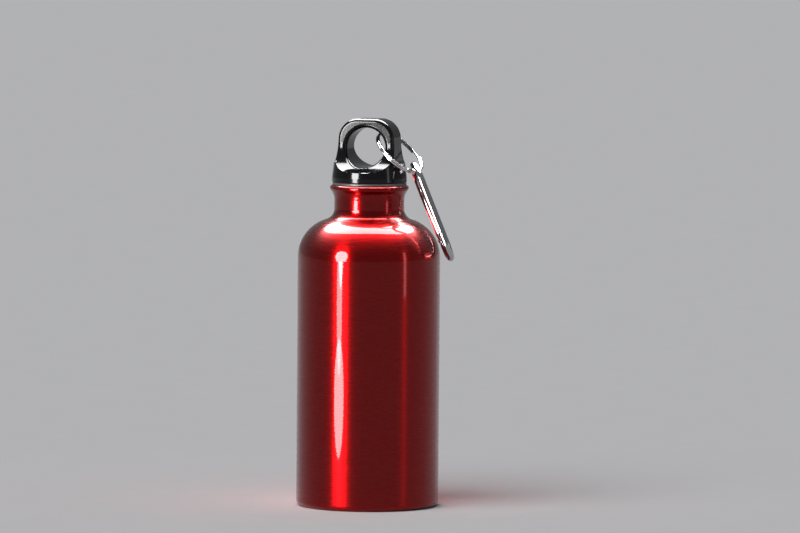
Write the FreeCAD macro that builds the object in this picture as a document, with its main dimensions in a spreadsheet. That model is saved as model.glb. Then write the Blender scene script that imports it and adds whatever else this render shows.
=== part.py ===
import FreeCAD, Part
import math
import operator
import os
import Sketcher
from FreeCAD import Placement, Rotation, Vector

# A 0.4 litre aluminium drinking bottle with a screw cap, a split ring and a small carabiner.
# Millimetres. +Z is the bottle's axis, pointing up through the cap, and the origin is the point
# where that axis meets the surface that the bottle stands on. The cap's finger hole runs along Y,
# and the ring and the carabiner hang on the +X side.

doc = FreeCAD.newDocument("WaterBottle")
sheet = doc.addObject("Spreadsheet::Sheet", "Sizes")

drivingSizes = {
    # bottle shell
    "bodyRadius": 32.5, "wallThickness": 0.8, "footWidth": 4.5, "domeHeight": 3.0,
    "footCorner": 2.5, "shoulderStart": 113.5, "shoulderRadius": 18.0, "neckRadius": 16.0,
    "neckFillet": 5.0, "neckHeight": 11.0, "flareRadius": 6.5, "beadRadius": 1.4,
    # neck ring and thread; insets are measured down from the lip
    "neckRingWall": 0.8, "neckRingInset": 1.5, "neckRingLength": 10.5, "threadPitch": 4.5,
    "threadClearance": 0.3, "threadDepth": 1.05, "rootGap": 0.4, "coreGap": 0.45,
    "femaleBaseWidth": 2.0, "femaleCrestWidth": 1.2, "maleBaseWidth": 2.2, "maleCrestWidth": 1.4,
    "femaleTurns": 1.25, "maleTurns": 1.9, "threadInset": 8.2, "threadRooting": 0.3,
    # seal
    "sealGap": 0.05, "sealThickness": 1.1, "sealPlugGap": 0.4, "sealOverhang": 0.9,
    "sealEdge": 0.25,
    # cap; rises are measured up from the step where the loop stands on the round base
    "capOverhang": 1.1, "capTaper": 0.8, "capBand": 2.2, "capStepHeight": 8.8,
    "capBottomEdge": 0.5, "loopRise": 20.2, "loopFootInset": 2.4, "loopTaper": 0.7,
    "loopFlatHalf": 4.0, "loopHalfDepth": 6.5, "scoopRadius": 14.0, "scoopRise": 9.5,
    "stepFillet": 0.8, "holeRadius": 9.1, "holeRise": 7.1, "holeRim": 1.9, "loopEdge": 1.5,
    "plugDepth": 12.6, "plugWall": 2.0, "plugRoofHeight": 3.2, "plugRibInset": 2.5,
    "plugRibWidth": 1.2, "cutMargin": 1.5,
    # split ring, placed from the middle of the loop's post and the hole's height
    "ringRadius": 12.3, "ringWireWidth": 1.15, "ringWireHeight": 0.85, "ringCoilPitch": 0.92,
    "ringTurns": 1.94, "ringWireRound": 0.25, "ringOut": 2.43, "ringBack": 2.26, "ringDrop": 2.24,
    "ringTurn": -14.2, "ringTilt": 44.8, "ringSeamTurn": 90.0,
    # carabiner, in its own frame: origin on the gate's hinge axis, +Z along the gate to its free
    # end, +X towards the spine, hinge axis along Y
    "rodRadius": 1.65, "clipTopRadius": 10.0, "clipBottomRadius": 6.8, "hingeLeg": 4.3,
    "noseHeight": 24.5, "tongueHalf": 1.3, "hingeTongueTop": 1.5, "hingeTongueThickness": 1.3,
    "hingeShoulder": 2.1, "noseTongueThickness": 1.1, "noseTongueDepth": 3.6, "notchRadius": 0.75,
    "tongueRooting": 0.5,
    # how the carabiner hangs: where the ring carries its top arc, and how it leans outwards
    "hookRingTurn": -11.2, "hookArcTurn": 58.7, "hookGap": 0.43, "hookSide": 1.93,
    "clipBearing": -26.6, "clipSpin": -70.5, "clipStandOff": 3.2,
    # gate and the small parts in it
    "gateRadius": 1.75, "gateEndGap": 0.3, "gateSlotHalf": 0.75, "hingeSlotTop": 3.2,
    "latchSlotDepth": 3.7, "latchDrop": 1.9, "gateFlat": 1.5, "gateFlatTop": 2.2, "boreRadius": 1.05,
    "boreBottom": 1.0, "boreTop": 14.0, "hingePinRadius": 0.6, "pinClearance": 0.05,
    "rivetHeadRadius": 1.0, "rivetHeadHeight": 0.35, "latchPinRadius": 0.5,
    "latchPinReach": 1.6, "plungerRadius": 0.95, "plungerTip": 1.6, "plungerLength": 3.6,
    "plungerNose": 0.35, "stemRadius": 0.4, "stemLength": 3.0, "springRadius": 0.7,
    "springWire": 0.13, "springTurns": 9.0, "springEndGap": 0.05,
}

tolerance = 0.001


# ---------------------------------------------------------------- sizes as sheet expressions

class Size:
    # A number together with the expression on the sheet that gives it.
    def __init__(self, value, text):
        self.value = value
        self.text = text

    def __add__(self, other):
        return combine(self, "+", other)

    def __radd__(self, other):
        return combine(other, "+", self)

    def __sub__(self, other):
        return combine(self, "-", other)

    def __rsub__(self, other):
        return combine(other, "-", self)

    def __mul__(self, other):
        return combine(self, "*", other)

    def __rmul__(self, other):
        return combine(other, "*", self)

    def __truediv__(self, other):
        return combine(self, "/", other)

    def __neg__(self):
        return combine(0.0, "-", self)


signs = {"+": operator.add, "-": operator.sub, "*": operator.mul, "/": operator.truediv}


def asSize(amount):
    return amount if isinstance(amount, Size) else Size(float(amount), f"{float(amount):.6f}")


def combine(left, sign, right):
    left = asSize(left)
    right = asSize(right)
    return Size(signs[sign](left.value, right.value), f"({left.text} {sign} {right.text})")


def root(size):
    return Size(math.sqrt(size.value), f"sqrt({size.text})")


def writeSheet():
    for row, (name, number) in enumerate(drivingSizes.items(), start=1):
        sheet.set(f"A{row}", name)
        sheet.set(f"B{row}", str(number))
        sheet.setAlias(f"B{row}", name)
    doc.recompute()


def size(name):
    return Size(drivingSizes[name], f"Sizes.{name}")


def bind(target, path, amount):
    target.setExpression(path, asSize(amount).text)


# ---------------------------------------------------------------- sketches and features

def newBody(label):
    body = doc.addObject("PartDesign::Body", label)
    body.Label = label
    return body


def originPlane(body, role):
    return next(plane for plane in body.Origin.OriginFeatures if plane.Role == role)


def newSketch(body, name, role, lift=None):
    sketch = body.newObject("Sketcher::SketchObject", name)
    sketch.AttachmentSupport = [(originPlane(body, role), "")]
    sketch.MapMode = "FlatFace"
    if lift is not None:
        sketch.AttachmentOffset = Placement(Vector(0, 0, lift.value), Rotation())
        bind(sketch, "AttachmentOffset.Base.z", lift)
    return sketch


def placePoint(sketch, geometry, end, direction, amount):
    # One coordinate of a sketch point, tied to its expression.
    amount = asSize(amount)
    if abs(amount.value) < tolerance:
        # -1 is the sketch's horizontal axis and -2 its vertical one.
        axis = -2 if direction == "DistanceX" else -1
        sketch.addConstraint(Sketcher.Constraint("PointOnObject", geometry, end, axis))
        return
    ends = (-1, 1, geometry, end) if amount.value > 0 else (geometry, end, -1, 1)
    index = sketch.addConstraint(Sketcher.Constraint(direction, *ends, abs(amount.value)))
    bind(sketch, f"Constraints[{index}]", amount if amount.value > 0 else -amount)


def arcBetween(start, end, radius):
    # The shorter arc from start to end: counterclockwise for a positive radius.
    chord = end - start
    rise = math.sqrt(max(radius ** 2 - (chord.Length / 2) ** 2, 0.0))
    side = Vector(-chord.y, chord.x, 0).normalize() * (rise if radius > 0 else -rise)
    centre = (start + end) / 2 + side
    first, last = (start, end) if radius > 0 else (end, start)
    angles = [math.atan2(point.y - centre.y, point.x - centre.x) for point in (first, last)]
    return Part.ArcOfCircle(Part.Circle(centre, Vector(0, 0, 1), abs(radius)), *angles)


def drawOutline(sketch, corners, closed=True):
    # An outline or an open path. Each corner is (x, y), or (x, y, radius) where an arc leads to it.
    points = [Vector(asSize(corner[0]).value, asSize(corner[1]).value, 0) for corner in corners]
    ends = []
    for index, point in enumerate(points if closed else points[:-1]):
        target = (index + 1) % len(points)
        radius = corners[target][2] if len(corners[target]) > 2 else None
        if radius is None:
            geometry = sketch.addGeometry(Part.LineSegment(point, points[target]), False)
            ends.append((geometry, 1, 2))
            continue
        radius = asSize(radius)
        geometry = sketch.addGeometry(arcBetween(point, points[target], radius.value), False)
        ends.append((geometry, 1, 2) if radius.value > 0 else (geometry, 2, 1))
        dimension = sketch.addConstraint(Sketcher.Constraint("Radius", geometry, abs(radius.value)))
        bind(sketch, f"Constraints[{dimension}]", radius if radius.value > 0 else -radius)
    for index, (geometry, start, _) in enumerate(ends):
        if closed or index:
            before, _, finish = ends[index - 1]
            sketch.addConstraint(Sketcher.Constraint("Coincident", before, finish, geometry, start))
        placeCorner(sketch, geometry, start, corners[index])
    if not closed:
        geometry, _, finish = ends[-1]
        placeCorner(sketch, geometry, finish, corners[-1])


def placeCorner(sketch, geometry, end, corner):
    placePoint(sketch, geometry, end, "DistanceX", corner[0])
    placePoint(sketch, geometry, end, "DistanceY", corner[1])


def drawCircle(sketch, x, y, radius):
    x, y = asSize(x), asSize(y)
    circle = Part.Circle(Vector(x.value, y.value, 0), Vector(0, 0, 1), radius.value)
    geometry = sketch.addGeometry(circle, False)
    placePoint(sketch, geometry, 3, "DistanceX", x)
    placePoint(sketch, geometry, 3, "DistanceY", y)
    dimension = sketch.addConstraint(Sketcher.Constraint("Radius", geometry, radius.value))
    bind(sketch, f"Constraints[{dimension}]", radius)


def mirrored(corners):
    # The same outline on the other side of the sketch's vertical axis.
    flipped = []
    for index, corner in enumerate(corners):
        turned = [-asSize(corner[0]), corner[1]]
        after = corners[(index + 1) % len(corners)]
        if len(after) > 2:
            turned.append(asSize(after[2]))
        flipped.append(tuple(turned))
    return flipped[::-1]


def rectangle(left, bottom, right, top):
    return [(left, bottom), (right, bottom), (right, top), (left, top)]


def turned(body, name, sketch, kind="Revolution", axis="V_Axis"):
    feature = body.newObject(f"PartDesign::{kind}", name)
    feature.Profile = sketch
    feature.ReferenceAxis = (sketch, [axis])
    feature.Angle = 360
    doc.recompute()
    return feature


def padded(body, name, sketch, length, symmetric=False):
    feature = body.newObject("PartDesign::Pad", name)
    feature.Profile = sketch
    feature.SideType = "Symmetric" if symmetric else "One side"
    bind(feature, "Length", length)
    doc.recompute()
    return feature


def cutThrough(body, name, sketch):
    # A pocket right through, both ways from its sketch, that must remove material.
    before = body.Tip.Shape.Volume
    feature = body.newObject("PartDesign::Pocket", name)
    feature.Profile = sketch
    feature.Type = "ThroughAll"
    feature.SideType = "Symmetric"
    doc.recompute()
    if feature.Shape.Volume > before - tolerance:
        raise RuntimeError(f"{name} cuts nothing")
    return feature


def helical(body, name, sketch, pitch, turns):
    feature = body.newObject("PartDesign::AdditiveHelix", name)
    feature.Profile = sketch
    feature.ReferenceAxis = (sketch, ["V_Axis"])
    feature.Mode = "pitch-turns-angle"
    bind(feature, "Pitch", pitch)
    bind(feature, "Turns", turns)
    doc.recompute()
    return feature


def rounded(body, name, radius, wanted):
    # A fillet on the edges of the tip that the test picks out.
    base = body.Tip
    edges = [f"Edge{number}" for number, edge in enumerate(base.Shape.Edges, start=1) if wanted(edge)]
    feature = body.newObject("PartDesign::Fillet", name)
    feature.Base = (base, edges)
    bind(feature, "Radius", radius)
    doc.recompute()
    return feature


# ---------------------------------------------------------------- radii and heights that pieces share

def neckStart():
    # Where the shoulder's fillet runs out into the straight neck.
    reach = size("shoulderRadius") + size("neckFillet")
    across = size("neckRadius") + size("neckFillet") - size("bodyRadius") + size("shoulderRadius")
    return size("shoulderStart") + root(reach * reach - across * across)


def lipTop():
    return neckStart() + size("neckHeight")


def neckBore():
    return size("neckRadius") - size("wallThickness")


def femaleRoot():
    return neckBore() - size("neckRingWall")


def femaleCrest():
    return femaleRoot() - size("threadDepth")


def maleCrest():
    return femaleRoot() - size("rootGap")


def plugRadius():
    return femaleCrest() - size("coreGap")


def threadHeight():
    return lipTop() - size("threadInset")


def capBottom():
    return lipTop() + 2 * size("sealGap") + size("sealThickness")


def capStep():
    return capBottom() + size("capStepHeight")


def capRadius():
    return size("neckRadius") + size("capOverhang")


def capTopRadius():
    return capRadius() - size("capTaper")


def loopFootHalf():
    return capTopRadius() - size("loopFootInset")


def loopSideHalf():
    return loopFootHalf() - size("loopTaper")


def loopTop():
    return capStep() + size("loopRise")


def holeHeight():
    return capStep() + size("holeRise")


# ---------------------------------------------------------------- bottle

def buildBottleShell():
    # One drawn wall of even thickness: domed base on a standing ring, straight body, round
    # shoulder, necked mouth and a lip rolled outwards into a bead.
    wall, body = size("wallThickness"), size("bodyRadius")
    neck, foot, corner = size("neckRadius"), body - size("footWidth"), size("footCorner")
    dome, shoulder, fillet = size("domeHeight"), size("shoulderRadius"), size("neckFillet")
    start, bead, flare = size("shoulderStart"), size("beadRadius"), size("flareRadius")
    bore = neckBore()
    domeRadius = (foot * foot + dome * dome) / (2 * dome)
    # The shoulder's arc and the neck's fillet touch on the line between their centres.
    shoulderX, filletZ = body - shoulder, neckStart()
    across, reach = neck + fillet - shoulderX, shoulder + fillet

    def meeting(radius):
        share = radius / reach
        return shoulderX + across * share, start + (filletZ - start) * share

    outerMeeting = meeting(shoulder)
    innerMeeting = meeting(shoulder - wall)
    # The bead hangs outwards from the bore's top, and the flare runs from the neck into it.
    beadX, beadZ = bore + bead, lipTop() - bead
    gap = neck + flare - beadX
    span = flare + bead
    drop = root(span * span - gap * gap)
    flareZ = beadZ - drop
    flareMeeting = (neck + flare - gap * flare / span, flareZ + drop * flare / span)

    shell = newBody("bottle_shell")
    sketch = newSketch(shell, "ShellProfile", "XZ_Plane")
    drawOutline(sketch, [
        (0, dome),
        (foot, 0, -domeRadius),
        (body - corner, 0),
        (body, corner, corner),
        (body, start),
        (*outerMeeting, shoulder),
        (neck, filletZ, -fillet),
        (neck, flareZ),
        (*flareMeeting, -flare),
        (beadX + bead, beadZ, bead),
        (beadX, beadZ + bead, bead),
        (bore, beadZ, bead),
        (bore, filletZ),
        (*innerMeeting, fillet + wall),
        (body - wall, start, wall - shoulder),
        (body - wall, corner),
        (body - corner, wall, wall - corner),
        (foot, wall),
        (0, dome + wall, domeRadius),
    ])
    turned(shell, "ShellWall", sketch)
    return shell


def trapezoid(baseX, crestX, height, baseWidth, crestWidth):
    # A thread's section, from its root at baseX to its crest at crestX, about a mid height.
    return [
        (baseX, height - baseWidth / 2),
        (crestX, height - crestWidth / 2),
        (crestX, height + crestWidth / 2),
        (baseX, height + baseWidth / 2),
    ]


def buildNeckThreadRing():
    # The threaded aluminium ring that is pressed into the neck's bore.
    top = lipTop() - size("neckRingInset")
    bottom = top - size("neckRingLength")
    ring = newBody("neck_thread_ring")
    band = newSketch(ring, "BandProfile", "XZ_Plane")
    drawOutline(band, rectangle(femaleRoot(), bottom, neckBore(), top))
    turned(ring, "Band", band)
    ridge = newSketch(ring, "InnerThreadProfile", "XZ_Plane")
    drawOutline(ridge, trapezoid(
        femaleRoot() + size("threadRooting"), femaleCrest(), threadHeight(),
        size("femaleBaseWidth"), size("femaleCrestWidth"))[::-1])
    helical(ring, "InnerThread", ridge, size("threadPitch"), size("femaleTurns"))
    return ring


def buildCapSeal():
    bottom = lipTop() + size("sealGap")
    top, edge = bottom + size("sealThickness"), size("sealEdge")
    inner, outer = plugRadius() + size("sealPlugGap"), size("neckRadius") + size("sealOverhang")
    seal = newBody("cap_seal")
    sketch = newSketch(seal, "SealProfile", "XZ_Plane")
    drawOutline(sketch, [
        (inner, bottom),
        (outer - edge, bottom),
        (outer, bottom + edge, edge),
        (outer, top - edge),
        (outer - edge, top, edge),
        (inner, top),
    ])
    turned(seal, "Washer", sketch)
    return seal


# ---------------------------------------------------------------- cap

def capOutside():
    return capRadius() + size("cutMargin")


def addLoopBlock(cap):
    # Front view: a wide foot, tapered posts on it, big round corners and a short flat top.
    foot, side, step = loopFootHalf(), loopSideHalf(), capStep()
    fillet, flat, top = size("stepFillet"), size("loopFlatHalf"), loopTop()
    bottom, outside, corner = capBottom(), capOutside(), side - flat
    sketch = newSketch(cap, "LoopOutline", "XZ_Plane")
    drawOutline(sketch, [
        (-outside, bottom),
        (outside, bottom),
        (outside, step),
        (foot + fillet, step),
        (foot, step + fillet, -fillet),
        (side, top - corner),
        (flat, top, corner),
        (-flat, top),
        (-side, top - corner, corner),
        (-foot, step + fillet),
        (-foot - fillet, step, -fillet),
        (-outside, step),
    ])
    padded(cap, "LoopBlock", sketch, 2 * outside, symmetric=True)


def cutLoopFaces(cap):
    # Side view: flat faces above, and a hollow scoop below that flares out to the round wall.
    half, scoop, height = size("loopHalfDepth"), size("scoopRadius"), capStep() + size("scoopRise")
    outside, over = capOutside() + size("cutMargin"), loopTop() + size("cutMargin")
    across = half + scoop - outside
    front = [
        (half, height),
        (outside, height - root(scoop * scoop - across * across), scoop),
        (outside, over),
        (half, over),
    ]
    sketch = newSketch(cap, "LoopFaces", "YZ_Plane")
    drawOutline(sketch, front)
    drawOutline(sketch, mirrored(front))
    cutThrough(cap, "CutLoopFaces", sketch)


def roundLoopEdges(cap):
    half, height = size("loopHalfDepth").value, holeHeight().value
    reach, step, top = size("holeRadius").value, capStep().value, loopTop().value

    def facing(edge):
        # The edge lies on one of the loop's faces or scoops, and doesn't cross between them.
        points = edge.discretize(5)
        return all(abs(p.y) > half - tolerance for p in points) and points[0].y * points[-1].y > 0

    def onRim(edge):
        return facing(edge) and all(
            abs(math.hypot(p.x, p.z - height) - reach) < tolerance for p in edge.discretize(5))

    def onOutline(edge):
        middle = edge.discretize(3)[1]
        level = abs(edge.tangentAt(edge.FirstParameter).z) < tolerance
        seam = level and step + tolerance < middle.z < top - tolerance
        return facing(edge) and middle.z > step - tolerance and not seam

    rounded(cap, "LoopEdges", size("loopEdge"), lambda edge: onOutline(edge) and not onRim(edge))
    rounded(cap, "HoleRim", size("holeRim"), onRim)


def trimRound(cap):
    # The whole block is turned down: a short straight band, a slight cone, a straight top.
    bottom, edge, radius = capBottom(), size("capBottomEdge"), capRadius()
    upper, far, over = capTopRadius(), 2 * capOutside(), loopTop() + size("cutMargin")
    sketch = newSketch(cap, "RoundTrim", "XZ_Plane")
    drawOutline(sketch, [
        (radius - edge, bottom),
        (radius, bottom + edge, edge),
        (radius, bottom + size("capBand")),
        (upper, capStep()),
        (upper, over),
        (far, over),
        (far, bottom - edge),
        (radius - edge, bottom - edge),
    ])
    turned(cap, "TrimRound", sketch, kind="Groove")


def addPlug(cap):
    # The hollow plug below the cap, closed at its roof and stiffened by a cross of ribs.
    bottom, core, wall = capBottom() - size("plugDepth"), plugRadius(), size("plugWall")
    roof, half = capBottom() + size("plugRoofHeight"), size("plugRibWidth") / 2
    post = newSketch(cap, "PlugProfile", "XZ_Plane")
    drawOutline(post, rectangle(0, bottom, core, capBottom() + wall / 2))
    turned(cap, "Plug", post)
    hollow = newSketch(cap, "PlugHollowProfile", "XZ_Plane")
    drawOutline(hollow, rectangle(0, bottom - wall, core - wall, roof))
    turned(cap, "PlugHollow", hollow, kind="Groove")
    ribBottom = bottom + size("plugRibInset")
    reach = core - wall / 2
    ribs = newSketch(cap, "RibCross", "XY_Plane", ribBottom)
    drawOutline(ribs, [
        (-half, -reach), (half, -reach), (half, -half), (reach, -half), (reach, half), (half, half),
        (half, reach), (-half, reach), (-half, half), (-reach, half), (-reach, -half), (-half, -half),
    ])
    padded(cap, "Ribs", ribs, roof - ribBottom + wall / 2)


def addPlugThread(cap):
    # The loaded upper flank lies one clearance under the neck ring's thread.
    crest = maleCrest()
    slope = (size("femaleBaseWidth") - size("femaleCrestWidth")) / size("threadDepth")
    femaleHalf = (size("femaleCrestWidth") + slope * (crest - femaleCrest())) / 2
    offset = femaleHalf + size("maleCrestWidth") / 2 + size("threadClearance")
    sketch = newSketch(cap, "PlugThreadProfile", "XZ_Plane")
    drawOutline(sketch, trapezoid(
        plugRadius() - size("threadRooting"), crest, threadHeight() - offset,
        size("maleBaseWidth"), size("maleCrestWidth")))
    helical(cap, "PlugThread", sketch, size("threadPitch"), size("maleTurns"))


def buildCap():
    cap = newBody("cap")
    addLoopBlock(cap)
    cutLoopFaces(cap)
    hole = newSketch(cap, "FingerHole", "XZ_Plane")
    drawCircle(hole, 0, holeHeight(), size("holeRadius"))
    cutThrough(cap, "CutFingerHole", hole)
    roundLoopEdges(cap)
    trimRound(cap)
    addPlug(cap)
    addPlugThread(cap)
    return cap


# ---------------------------------------------------------------- split ring

def buildSplitRing():
    # Just under two turns of flattened steel wire, wound against itself.
    radius, across, height = size("ringRadius"), size("ringWireWidth") / 2, size("ringWireHeight") / 2
    pitch, turns, edge = size("ringCoilPitch"), size("ringTurns"), size("ringWireRound")
    middle = -(pitch * turns) / 2
    inner, outer = radius - across, radius + across
    bottom, top = middle - height, middle + height
    ring = newBody("split_ring")
    sketch = newSketch(ring, "WireProfile", "XZ_Plane")
    drawOutline(sketch, [
        (inner + edge, bottom, edge),
        (outer - edge, bottom),
        (outer, bottom + edge, edge),
        (outer, top - edge),
        (outer - edge, top, edge),
        (inner + edge, top),
        (inner, top - edge, edge),
        (inner, bottom + edge),
    ])
    helical(ring, "Coils", sketch, pitch, turns)
    seam = Placement(Vector(), Rotation(Vector(0, 0, 1), drivingSizes["ringSeamTurn"]))
    ring.Placement = ringPlacement() * seam
    return ring


def ringPlacement():
    # The ring runs through the hole and round the loop's post, in a tilted plane.
    postMiddle = (size("holeRadius") + loopSideHalf()) / 2
    place = Vector(
        (postMiddle + size("ringOut")).value,
        size("ringBack").value,
        (holeHeight() - size("ringDrop")).value)
    return Placement(place, Rotation(drivingSizes["ringTurn"], drivingSizes["ringTilt"], 0))


# ---------------------------------------------------------------- carabiner

def clipPlacement():
    # The carabiner hangs by its top arc in the ring, and leans outwards as far as it takes for
    # its hinge end to stand clear of the body.
    ringTurn, arcTurn = (math.radians(drivingSizes[name]) for name in ("hookRingTurn", "hookArcTurn"))
    ringReach = (size("ringRadius") - size("ringWireWidth") / 2 - size("hookGap")).value
    carried = Vector(ringReach * math.cos(ringTurn), ringReach * math.sin(ringTurn), 0)
    hook = ringPlacement().multVec(carried)
    arcReach = (size("clipTopRadius") - size("rodRadius")).value
    arcPoint = Vector(
        size("clipTopRadius").value + arcReach * math.cos(arcTurn),
        -size("hookSide").value,
        size("noseHeight").value + arcReach * math.sin(arcTurn))
    bearing = math.radians(drivingSizes["clipBearing"])
    outwards = Vector(math.cos(bearing), math.sin(bearing), 0)
    needed = (size("bodyRadius") + size("clipStandOff")).value - hook.dot(outwards)
    lean = Rotation(outwards.cross(Vector(0, 0, 1)), math.degrees(math.asin(needed / arcPoint.z)))
    turn = lean * Rotation(Vector(0, 0, 1), drivingSizes["clipSpin"])
    return Placement(hook - turn.multVec(arcPoint), turn)


def addRod(frame):
    # The bent rod: from the nose over the top, down the spine and round to the hinge.
    top, bottom, nose = size("clipTopRadius"), size("clipBottomRadius"), size("noseHeight")
    narrowing, line = top - bottom, nose + size("hingeLeg")
    between = root(line * line + narrowing * narrowing)
    sine, cosine = narrowing / between, line / between
    # The spine touches both end arcs where their radii point this way.
    spineX = cosine * cosine - sine * sine
    spineZ = -2 * sine * cosine
    path = newSketch(frame, "RodPath", "XZ_Plane")
    drawOutline(path, [
        (0, nose),
        (top, nose + top, -top),
        (top + top * spineX, nose + top * spineZ, -top),
        (bottom + bottom * spineX, nose - line + bottom * spineZ),
        (0, nose - line, -bottom),
        (0, -size("hingeShoulder")),
    ], closed=False)
    section = newSketch(frame, "RodSection", "XY_Plane", nose)
    drawCircle(section, 0, 0, size("rodRadius"))
    doc.recompute()
    rod = frame.newObject("PartDesign::AdditivePipe", "Rod")
    rod.Profile = section
    rod.Spine = (path, [f"Edge{number}" for number in range(1, 6)])
    doc.recompute()


def addTongues(frame):
    # Both rod ends are pressed flat: one for the hinge rivet, one with a notch for the latch pin.
    half, rooting, nose = size("tongueHalf"), size("tongueRooting"), size("noseHeight")
    hinge = newSketch(frame, "HingeTongueProfile", "XZ_Plane")
    drawOutline(hinge, rectangle(-half, -size("hingeShoulder") - rooting, half, size("hingeTongueTop")))
    padded(frame, "HingeTongue", hinge, size("hingeTongueThickness"), symmetric=True)
    notch, pin = size("notchRadius"), nose - size("latchDrop")
    nosePlate = newSketch(frame, "NoseTongueProfile", "XZ_Plane")
    drawOutline(nosePlate, [
        (half, nose + rooting),
        (-half, nose + rooting),
        (-half, nose - size("noseTongueDepth")),
        (half, nose - size("noseTongueDepth")),
        (half, pin - notch),
        (0, pin - notch),
        (-notch, pin, -notch),
        (0, pin + notch, -notch),
        (half, pin + notch),
    ])
    padded(frame, "NoseTongue", nosePlate, size("noseTongueThickness"), symmetric=True)
    eye = newSketch(frame, "RivetEye", "XZ_Plane")
    drawCircle(eye, 0, 0, size("hingePinRadius"))
    cutThrough(frame, "CutRivetEye", eye)


def buildCarabinerFrame():
    frame = newBody("carabiner_frame")
    addRod(frame)
    addTongues(frame)
    frame.Placement = clipPlacement()
    return frame


def gateTop():
    return size("noseHeight") - size("gateEndGap")


def buildCarabinerGate():
    # A round bar, bored for its spring, slotted at both ends and flattened beside the rivet.
    radius, slot, top = size("gateRadius"), size("gateSlotHalf"), gateTop()
    margin = size("cutMargin")
    outside = radius + margin
    gate = newBody("carabiner_gate")
    section = newSketch(gate, "BarSection", "XY_Plane", -radius)
    drawCircle(section, 0, 0, radius)
    padded(gate, "Bar", section, top + radius)
    end = newSketch(gate, "HingeEnd", "XZ_Plane")
    drawOutline(end, [
        (-outside, 0), (-radius, 0), (0, -radius, radius), (radius, 0, radius), (outside, 0),
        (outside, -outside), (-outside, -outside),
    ])
    cutThrough(gate, "CutHingeEnd", end)
    bore = newSketch(gate, "BoreProfile", "XZ_Plane")
    drawOutline(bore, rectangle(0, size("boreBottom"), size("boreRadius"), size("boreTop")))
    turned(gate, "Bore", bore, kind="Groove")
    slots = newSketch(gate, "SlotsAndFlats", "YZ_Plane")
    drawOutline(slots, rectangle(-slot, -outside, slot, size("hingeSlotTop")))
    drawOutline(slots, rectangle(-slot, top - size("latchSlotDepth"), slot, top + margin))
    drawOutline(slots, rectangle(size("gateFlat"), -outside, outside, size("gateFlatTop")))
    drawOutline(slots, rectangle(-outside, -outside, -size("gateFlat"), size("gateFlatTop")))
    cutThrough(gate, "CutSlotsAndFlats", slots)
    holes = newSketch(gate, "PinHoles", "XZ_Plane")
    drawCircle(holes, 0, 0, size("hingePinRadius") + size("pinClearance"))
    drawCircle(holes, 0, size("noseHeight") - size("latchDrop"), size("latchPinRadius"))
    cutThrough(gate, "CutPinHoles", holes)
    gate.Placement = clipPlacement()
    return gate


def buildGateHingePin():
    # A rivet along the hinge axis with a low head on each side of the gate.
    shank, head, height = size("hingePinRadius"), size("rivetHeadRadius"), size("rivetHeadHeight")
    reach = size("gateFlat") + size("pinClearance")
    pin = newBody("gate_hinge_pin")
    sketch = newSketch(pin, "RivetProfile", "YZ_Plane")
    drawOutline(sketch, [
        (-reach - height, 0),
        (reach + height, 0),
        (reach + height, shank),
        (reach, head),
        (reach, shank),
        (-reach, shank),
        (-reach, head),
        (-reach - height, shank),
    ])
    turned(pin, "Rivet", sketch, axis="H_Axis")
    pin.Placement = clipPlacement()
    return pin


def buildGateLatchPin():
    pin = doc.addObject("Part::Cylinder", "gate_latch_pin")
    pin.Label = "gate_latch_pin"
    bind(pin, "Radius", size("latchPinRadius"))
    bind(pin, "Height", 2 * size("latchPinReach"))
    height = size("noseHeight") - size("latchDrop")
    start = Vector(0, -size("latchPinReach").value, height.value)
    pin.Placement = clipPlacement() * Placement(start, Rotation(Vector(1, 0, 0), -90))
    return pin


def buildGatePlunger():
    # The pin that the spring presses on the hinge tongue, with a stem inside the spring.
    radius, tip, nose = size("plungerRadius"), size("plungerTip"), size("plungerNose")
    back, stem = tip + size("plungerLength"), size("stemRadius")
    end = back + size("stemLength")
    plunger = newBody("gate_plunger")
    sketch = newSketch(plunger, "PlungerProfile", "XZ_Plane")
    drawOutline(sketch, [
        (0, tip), (radius - nose, tip), (radius, tip + nose), (radius, back), (stem, back),
        (stem, end), (0, end),
    ])
    turned(plunger, "Plunger", sketch)
    plunger.Placement = clipPlacement()
    return plunger


def buildGateSpring():
    wire, radius, gap = size("springWire"), size("springRadius"), size("springEndGap")
    bottom = size("plungerTip") + size("plungerLength") + gap + wire
    top = size("boreTop") - gap - wire
    spring = newBody("gate_spring")
    sketch = newSketch(spring, "SpringWire", "XZ_Plane")
    drawCircle(sketch, radius, bottom, wire)
    helical(spring, "SpringCoils", sketch, (top - bottom) / size("springTurns"), size("springTurns"))
    spring.Placement = clipPlacement()
    return spring


# ---------------------------------------------------------------- build, check and write

builders = (
    buildBottleShell, buildNeckThreadRing, buildCapSeal, buildCap, buildSplitRing,
    buildCarabinerFrame, buildCarabinerGate, buildGateHingePin, buildGateLatchPin,
    buildGatePlunger, buildGateSpring,
)


def checkDocument(pieces):
    doc.recompute()
    for item in doc.Objects:
        if {"Invalid", "Error"} & set(item.State):
            raise RuntimeError(f"{item.Name} is {item.State}")
    for piece in pieces:
        if piece.Shape.isNull() or not piece.Shape.isValid():
            raise RuntimeError(f"{piece.Label} has no valid shape")
        if len(piece.Shape.Solids) != 1:
            raise RuntimeError(f"{piece.Label} is {len(piece.Shape.Solids)} solids")


def writeParts(pieces):
    os.makedirs("parts", exist_ok=True)
    for piece in pieces:
        piece.Shape.exportStep(os.path.join("parts", piece.Label + ".step"))
        print(f"{piece.Label}: {piece.Shape.Volume:.1f} mm3")


writeSheet()
pieces = [build() for build in builders]
checkDocument(pieces)
writeParts(pieces)
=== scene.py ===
import math

import bpy
from mathutils import Matrix, Vector


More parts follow.
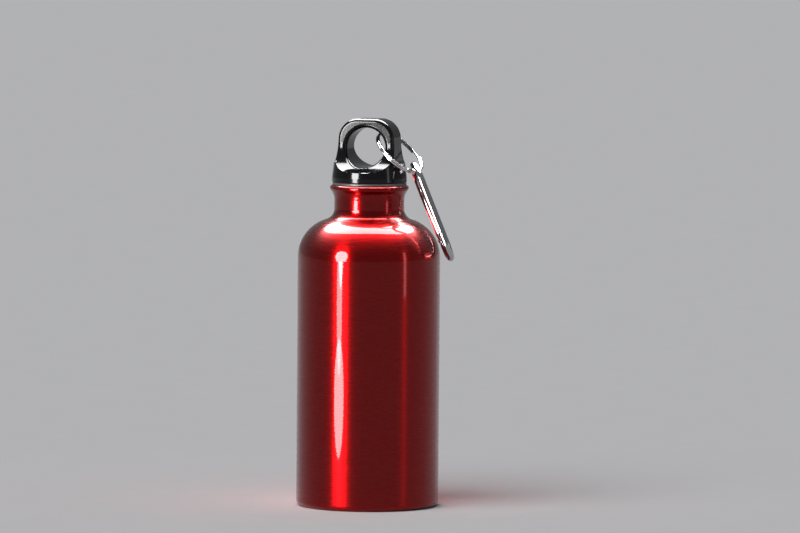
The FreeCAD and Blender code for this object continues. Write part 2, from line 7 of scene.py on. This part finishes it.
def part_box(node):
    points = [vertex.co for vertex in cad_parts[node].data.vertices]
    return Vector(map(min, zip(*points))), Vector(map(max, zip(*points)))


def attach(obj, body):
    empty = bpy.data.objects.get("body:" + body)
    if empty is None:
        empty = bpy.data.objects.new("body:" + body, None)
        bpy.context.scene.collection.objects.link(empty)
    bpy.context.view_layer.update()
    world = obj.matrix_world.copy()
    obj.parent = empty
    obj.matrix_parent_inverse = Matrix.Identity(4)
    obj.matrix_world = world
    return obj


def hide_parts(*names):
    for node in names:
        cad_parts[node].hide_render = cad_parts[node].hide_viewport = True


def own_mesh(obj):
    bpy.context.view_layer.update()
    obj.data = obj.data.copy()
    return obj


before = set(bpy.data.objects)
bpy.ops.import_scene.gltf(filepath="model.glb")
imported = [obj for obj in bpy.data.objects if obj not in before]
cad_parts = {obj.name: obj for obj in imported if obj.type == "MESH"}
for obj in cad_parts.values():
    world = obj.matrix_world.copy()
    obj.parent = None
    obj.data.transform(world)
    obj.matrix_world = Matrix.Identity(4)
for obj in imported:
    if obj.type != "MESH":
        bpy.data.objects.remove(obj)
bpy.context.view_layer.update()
print("frame loaded:", len(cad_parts), "nodes")

shellLow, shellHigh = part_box("bottle_shell")
neckTop = shellHigh[2]


def newMaterial(name):
    material = bpy.data.materials.new(name)
    material.use_nodes = True
    tree = material.node_tree
    tree.nodes.clear()
    output = tree.nodes.new("ShaderNodeOutputMaterial")
    shader = tree.nodes.new("ShaderNodeBsdfPrincipled")
    tree.links.new(shader.outputs["BSDF"], output.inputs["Surface"])
    return material, tree, shader


def objectCoordinates(tree, stretch=(1, 1, 1)):
    place = tree.nodes.new("ShaderNodeTexCoord")
    mapping = tree.nodes.new("ShaderNodeMapping")
    mapping.inputs["Scale"].default_value = stretch
    tree.links.new(place.outputs["Object"], mapping.inputs["Vector"])
    return mapping.outputs["Vector"]


def addNoise(tree, vector, scale, detail=2.0):
    noise = tree.nodes.new("ShaderNodeTexNoise")
    noise.inputs["Scale"].default_value = scale
    noise.inputs["Detail"].default_value = detail
    tree.links.new(vector, noise.inputs["Vector"])
    return noise.outputs["Fac"]


def remap(tree, value, lowOut, highOut, lowIn=0.3, highIn=0.7):
    span = tree.nodes.new("ShaderNodeMapRange")
    span.inputs["From Min"].default_value = lowIn
    span.inputs["From Max"].default_value = highIn
    span.inputs["To Min"].default_value = lowOut
    span.inputs["To Max"].default_value = highOut
    tree.links.new(value, span.inputs["Value"])
    return span.outputs["Result"]


def mixColours(tree, mask, first, second):
    mix = tree.nodes.new("ShaderNodeMix")
    mix.data_type = "RGBA"
    tree.links.new(mask, mix.inputs["Factor"])
    mix.inputs["A"].default_value = (*first, 1)
    mix.inputs["B"].default_value = (*second, 1)
    return mix.outputs["Result"]


def addBump(tree, height, strength, distance):
    bump = tree.nodes.new("ShaderNodeBump")
    bump.inputs["Strength"].default_value = strength
    bump.inputs["Distance"].default_value = distance
    tree.links.new(height, bump.inputs["Height"])
    return bump.outputs["Normal"]


grainDetail = {"lines": 3, "spots": 4}


def buildGrainGroup(detail):
    # Machining or brushing lines plus small blemishes, both as 0..1 values.
    group = bpy.data.node_groups.new("MetalGrain", "ShaderNodeTree")
    group.interface.new_socket("Vector", in_out="INPUT", socket_type="NodeSocketVector")
    group.interface.new_socket("Line Scale", in_out="INPUT", socket_type="NodeSocketFloat")
    group.interface.new_socket("Spot Scale", in_out="INPUT", socket_type="NodeSocketFloat")
    group.interface.new_socket("Lines", in_out="OUTPUT", socket_type="NodeSocketFloat")
    group.interface.new_socket("Spots", in_out="OUTPUT", socket_type="NodeSocketFloat")
    source = group.nodes.new("NodeGroupInput")
    result = group.nodes.new("NodeGroupOutput")
    lines = group.nodes.new("ShaderNodeTexNoise")
    lines.inputs["Detail"].default_value = detail["lines"]
    spots = group.nodes.new("ShaderNodeTexNoise")
    spots.inputs["Detail"].default_value = detail["spots"]
    group.links.new(source.outputs["Vector"], lines.inputs["Vector"])
    group.links.new(source.outputs["Vector"], spots.inputs["Vector"])
    group.links.new(source.outputs["Line Scale"], lines.inputs["Scale"])
    group.links.new(source.outputs["Spot Scale"], spots.inputs["Scale"])
    group.links.new(lines.outputs["Fac"], result.inputs["Lines"])
    group.links.new(spots.outputs["Fac"], result.inputs["Spots"])
    return group


grainGroup = buildGrainGroup(grainDetail)


def addGrain(tree, stretch, lineScale, spotScale=1.0):
    grain = tree.nodes.new("ShaderNodeGroup")
    grain.node_tree = grainGroup
    grain.inputs["Line Scale"].default_value = lineScale
    grain.inputs["Spot Scale"].default_value = spotScale
    tree.links.new(objectCoordinates(tree, stretch), grain.inputs["Vector"])
    return grain.outputs


redLacquer = {
    "deepRed": (0.20, 0.0006, 0.0010), "brightRed": (0.26, 0.0009, 0.0014),
    "roughness": (0.25, 0.30), "anisotropy": 0.84, "brushTurn": 0.25,
    "coatWeight": 0.40, "coatRoughness": 0.03, "coatIor": 1.5,
    "lineStretch": (1.0, 1.0, 45.0), "lineScale": 110.0,
    "lineDepth": 0.00001, "lineStrength": 0.10,
}


def makeRedLacquer(look):
    # Brushed metal under a clear red lacquer: the brushing runs round the bottle, so lamps draw out
    # into upright streaks.
    material, tree, shader = newMaterial("RedLacquer")
    lines = addGrain(tree, look["lineStretch"], look["lineScale"])["Lines"]
    tree.links.new(mixColours(tree, lines, look["deepRed"], look["brightRed"]), shader.inputs["Base Color"])
    tree.links.new(remap(tree, lines, *look["roughness"]), shader.inputs["Roughness"])
    normal = addBump(tree, lines, look["lineStrength"], look["lineDepth"])
    tree.links.new(normal, shader.inputs["Normal"])
    tangent = tree.nodes.new("ShaderNodeTangent")
    tangent.direction_type = "RADIAL"
    tangent.axis = "Z"
    tree.links.new(tangent.outputs["Tangent"], shader.inputs["Tangent"])
    shader.inputs["Metallic"].default_value = 1.0
    shader.inputs["Anisotropic"].default_value = look["anisotropy"]
    shader.inputs["Anisotropic Rotation"].default_value = look["brushTurn"]
    shader.inputs["Coat Weight"].default_value = look["coatWeight"]
    shader.inputs["Coat Roughness"].default_value = look["coatRoughness"]
    shader.inputs["Coat IOR"].default_value = look["coatIor"]
    return material


blackPlastic = {
    "black": (0.004, 0.004, 0.005), "worn": (0.008, 0.008, 0.009), "roughness": (0.09, 0.16),
    "ior": 1.33, "cloudScale": 75.0, "moteScale": 900.0, "moteDepth": 0.00003, "moteStrength": 0.08,
}


def makeBlackPlastic(look):
    # Polished moulded plastic with a very slight ripple.
    material, tree, shader = newMaterial("BlackPlastic")
    place = objectCoordinates(tree)
    motes = addNoise(tree, place, look["moteScale"])
    cloud = addNoise(tree, place, look["cloudScale"])
    tree.links.new(mixColours(tree, cloud, look["black"], look["worn"]), shader.inputs["Base Color"])
    tree.links.new(remap(tree, cloud, *look["roughness"]), shader.inputs["Roughness"])
    shader.inputs["IOR"].default_value = look["ior"]
    normal = addBump(tree, motes, look["moteStrength"], look["moteDepth"])
    tree.links.new(normal, shader.inputs["Normal"])
    return material


greyRubber = {
    "dark": (0.10, 0.10, 0.10), "light": (0.17, 0.17, 0.17), "roughness": (0.35, 0.50),
    "grainScale": 700.0, "grainDepth": 0.00004, "grainStrength": 0.2, "milkiness": 0.3,
    "lightDepth": 0.001,
}


def makeGreyRubber(look):
    # Milky silicone: a little light passes into it.
    material, tree, shader = newMaterial("GreyRubber")
    grain = addNoise(tree, objectCoordinates(tree), look["grainScale"])
    tree.links.new(mixColours(tree, grain, look["dark"], look["light"]), shader.inputs["Base Color"])
    tree.links.new(remap(tree, grain, *look["roughness"]), shader.inputs["Roughness"])
    tree.links.new(addBump(tree, grain, look["grainStrength"], look["grainDepth"]), shader.inputs["Normal"])
    shader.inputs["Subsurface Weight"].default_value = look["milkiness"]
    shader.inputs["Subsurface Scale"].default_value = look["lightDepth"]
    return material


metalStrength = 0.15  # of the fine marks in every bare metal

metals = {
    "NeckAluminium": {"dark": (0.55, 0.55, 0.56), "light": (0.74, 0.74, 0.75), "roughness": (0.25, 0.40),
                      "stretch": (1, 1, 40), "lineScale": 80.0, "spotScale": 6.0, "depth": 0.00003},
    "RingSteel": {"dark": (0.52, 0.52, 0.53), "light": (0.70, 0.70, 0.71), "roughness": (0.10, 0.22),
                  "stretch": (1, 1, 1), "lineScale": 500.0, "spotScale": 120.0, "depth": 0.00001},
    "ClipAluminium": {"dark": (0.42, 0.42, 0.43), "light": (0.54, 0.54, 0.55), "roughness": (0.08, 0.16),
                      "stretch": (1, 1, 1), "lineScale": 400.0, "spotScale": 90.0, "depth": 0.00001},
    "PinSteel": {"dark": (0.48, 0.48, 0.49), "light": (0.64, 0.64, 0.65), "roughness": (0.16, 0.28),
                 "stretch": (1, 1, 1), "lineScale": 900.0, "spotScale": 200.0, "depth": 0.00001},
}


def makeMetal(name, look):
    material, tree, shader = newMaterial(name)
    grain = addGrain(tree, look["stretch"], look["lineScale"], look["spotScale"])
    colour = mixColours(tree, grain["Spots"], look["dark"], look["light"])
    tree.links.new(colour, shader.inputs["Base Color"])
    tree.links.new(remap(tree, grain["Lines"], *look["roughness"]), shader.inputs["Roughness"])
    tree.links.new(addBump(tree, grain["Lines"], metalStrength, look["depth"]), shader.inputs["Normal"])
    shader.inputs["Metallic"].default_value = 1.0
    return material


finishes = {name: makeMetal(name, look) for name, look in metals.items()}
finishes["RedLacquer"] = makeRedLacquer(redLacquer)
finishes["BlackPlastic"] = makeBlackPlastic(blackPlastic)
finishes["GreyRubber"] = makeGreyRubber(greyRubber)

nodeFinishes = {
    "bottle_shell": "RedLacquer", "neck_thread_ring": "NeckAluminium", "cap_seal": "GreyRubber",
    "cap": "BlackPlastic", "split_ring": "RingSteel", "carabiner_frame": "ClipAluminium",
    "carabiner_gate": "ClipAluminium", "gate_hinge_pin": "PinSteel", "gate_latch_pin": "PinSteel",
    "gate_plunger": "PinSteel", "gate_spring": "PinSteel",
}

for node, finish in nodeFinishes.items():
    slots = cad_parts[node].material_slots
    for slot in slots:
        slot.material = finishes[finish]
print("finishes on", len(nodeFinishes), "nodes")


def buildSpring():
    # The gate's spring as a piece of its own, carried by the gate, in place of the CAD spring.
    spring = bpy.data.objects.new("spring_coils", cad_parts["gate_spring"].data.copy())
    bpy.context.scene.collection.objects.link(spring)
    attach(spring, "gate")
    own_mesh(spring)
    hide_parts("gate_spring")


buildSpring()


studio = {"floorSize": 60.0, "floorColour": (0.60, 0.60, 0.61), "floorShine": 0.0,
          "floorRoughness": 0.6, "mottleScale": 40.0, "mottle": 1.03, "skyLight": (0.20, 0.202, 0.208)}


def buildFloor(look):
    bpy.ops.object.select_all(action="DESELECT")
    bpy.ops.mesh.primitive_plane_add(size=look["floorSize"], location=(0, 0, shellLow[2]))
    floor = bpy.context.object
    floor.name = "floor"
    material, tree, shader = newMaterial("PaleFloor")
    grain = addNoise(tree, objectCoordinates(tree), look["mottleScale"])
    colour = look["floorColour"]
    paler = [channel * look["mottle"] for channel in colour]
    tree.links.new(mixColours(tree, grain, colour, paler), shader.inputs["Base Color"])
    shader.inputs["Roughness"].default_value = look["floorRoughness"]
    shader.inputs["Specular IOR Level"].default_value = look["floorShine"]
    floor.data.materials.append(material)


def lightWorld(look):
    world = bpy.data.worlds.new("Studio")
    world.use_nodes = True
    background = world.node_tree.nodes["Background"]
    background.inputs["Color"].default_value = (*look["skyLight"], 1)
    background.inputs["Strength"].default_value = 1.0
    bpy.context.scene.world = world


buildFloor(studio)
lightWorld(studio)

view = {"azimuth": 18.0, "distance": 2.99, "height": 0.325, "aimRight": 0.0142, "aimHeight": 0.1093,
        "lens": 295.9, "roll": 0.43, "farthest": 100.0}

turn = math.radians(view["azimuth"])  # the camera's place round the bottle, from the front
toCamera = Vector((math.sin(turn), -math.cos(turn), 0))
toRight = Vector((math.cos(turn), math.sin(turn), 0))

softDaylight = {"strength": 2.1, "spread": 50.0, "left": 35.0, "fromUpright": 38.0}

lamps = {
    # Degrees left of the camera, metres out and up, shape, width and height, watts. These lamps
    # show only in glossy surfaces.
    "bulb": {"left": 45.2, "out": 1.0, "up": 0.27, "shape": "ELLIPSE", "size": (0.38, 0.50), "power": 19.0},
    "streakLow": {"left": 45.2, "out": 0.26, "up": 0.030, "shape": "ELLIPSE", "size": (0.070, 0.058),
                  "power": 0.26},
    "streakHigh": {"left": 45.2, "out": 0.26, "up": 0.078, "shape": "ELLIPSE", "size": (0.038, 0.075),
                   "power": 0.15},
    "roof": {"left": 180.0, "out": 0.42, "up": 1.05, "shape": "ELLIPSE", "size": (1.45, 1.25),
             "power": 140.0},
    "edge": {"left": -60.0, "out": 1.3, "up": 0.10, "shape": "RECTANGLE", "size": (0.11, 0.9),
             "power": 1.0},
}


def addDaylight(look):
    data = bpy.data.lights.new("daylight", "SUN")
    data.energy = look["strength"]
    data.angle = math.radians(look["spread"])
    sun = bpy.data.objects.new("daylight", data)
    bpy.context.scene.collection.objects.link(sun)
    sun.visible_glossy = False
    sun.rotation_euler = (math.radians(look["fromUpright"]), 0, turn - math.radians(look["left"]))


def addLamp(name, look):
    angle = turn - math.radians(look["left"])
    spot = Vector((math.sin(angle), -math.cos(angle), 0)) * look["out"] + Vector((0, 0, look["up"]))
    data = bpy.data.lights.new(name, "AREA")
    data.shape = look["shape"]
    data.size, data.size_y = look["size"]
    data.energy = look["power"]
    lamp = bpy.data.objects.new(name, data)
    bpy.context.scene.collection.objects.link(lamp)
    lamp.location = spot
    lamp.visible_camera = False
    lamp.visible_diffuse = False
    # A low lamp aims level, a high one at the middle of the bottle.
    aim = Vector((0, 0, min(look["up"], neckTop / 2))) - spot
    lamp.rotation_euler = aim.to_track_quat("-Z", "Y").to_euler()


addDaylight(softDaylight)
for name, look in lamps.items():
    addLamp(name, look)

cameraData = bpy.data.cameras.new("camera")
cameraData.lens = view["lens"]
cameraData.clip_end = view["farthest"]
camera = bpy.data.objects.new("camera", cameraData)
bpy.context.scene.collection.objects.link(camera)
eye = toCamera * view["distance"] + Vector((0, 0, view["height"]))
target = toRight * view["aimRight"] + Vector((0, 0, view["aimHeight"]))
heading = (target - eye).to_track_quat("-Z", "Y").to_matrix()
camera.matrix_world = (heading @ Matrix.Rotation(math.radians(view["roll"]), 3, "Z")).to_4x4()
camera.location = eye
bpy.context.scene.camera = camera
bpy.context.scene.view_settings.view_transform = "Standard"
print("studio and camera set")
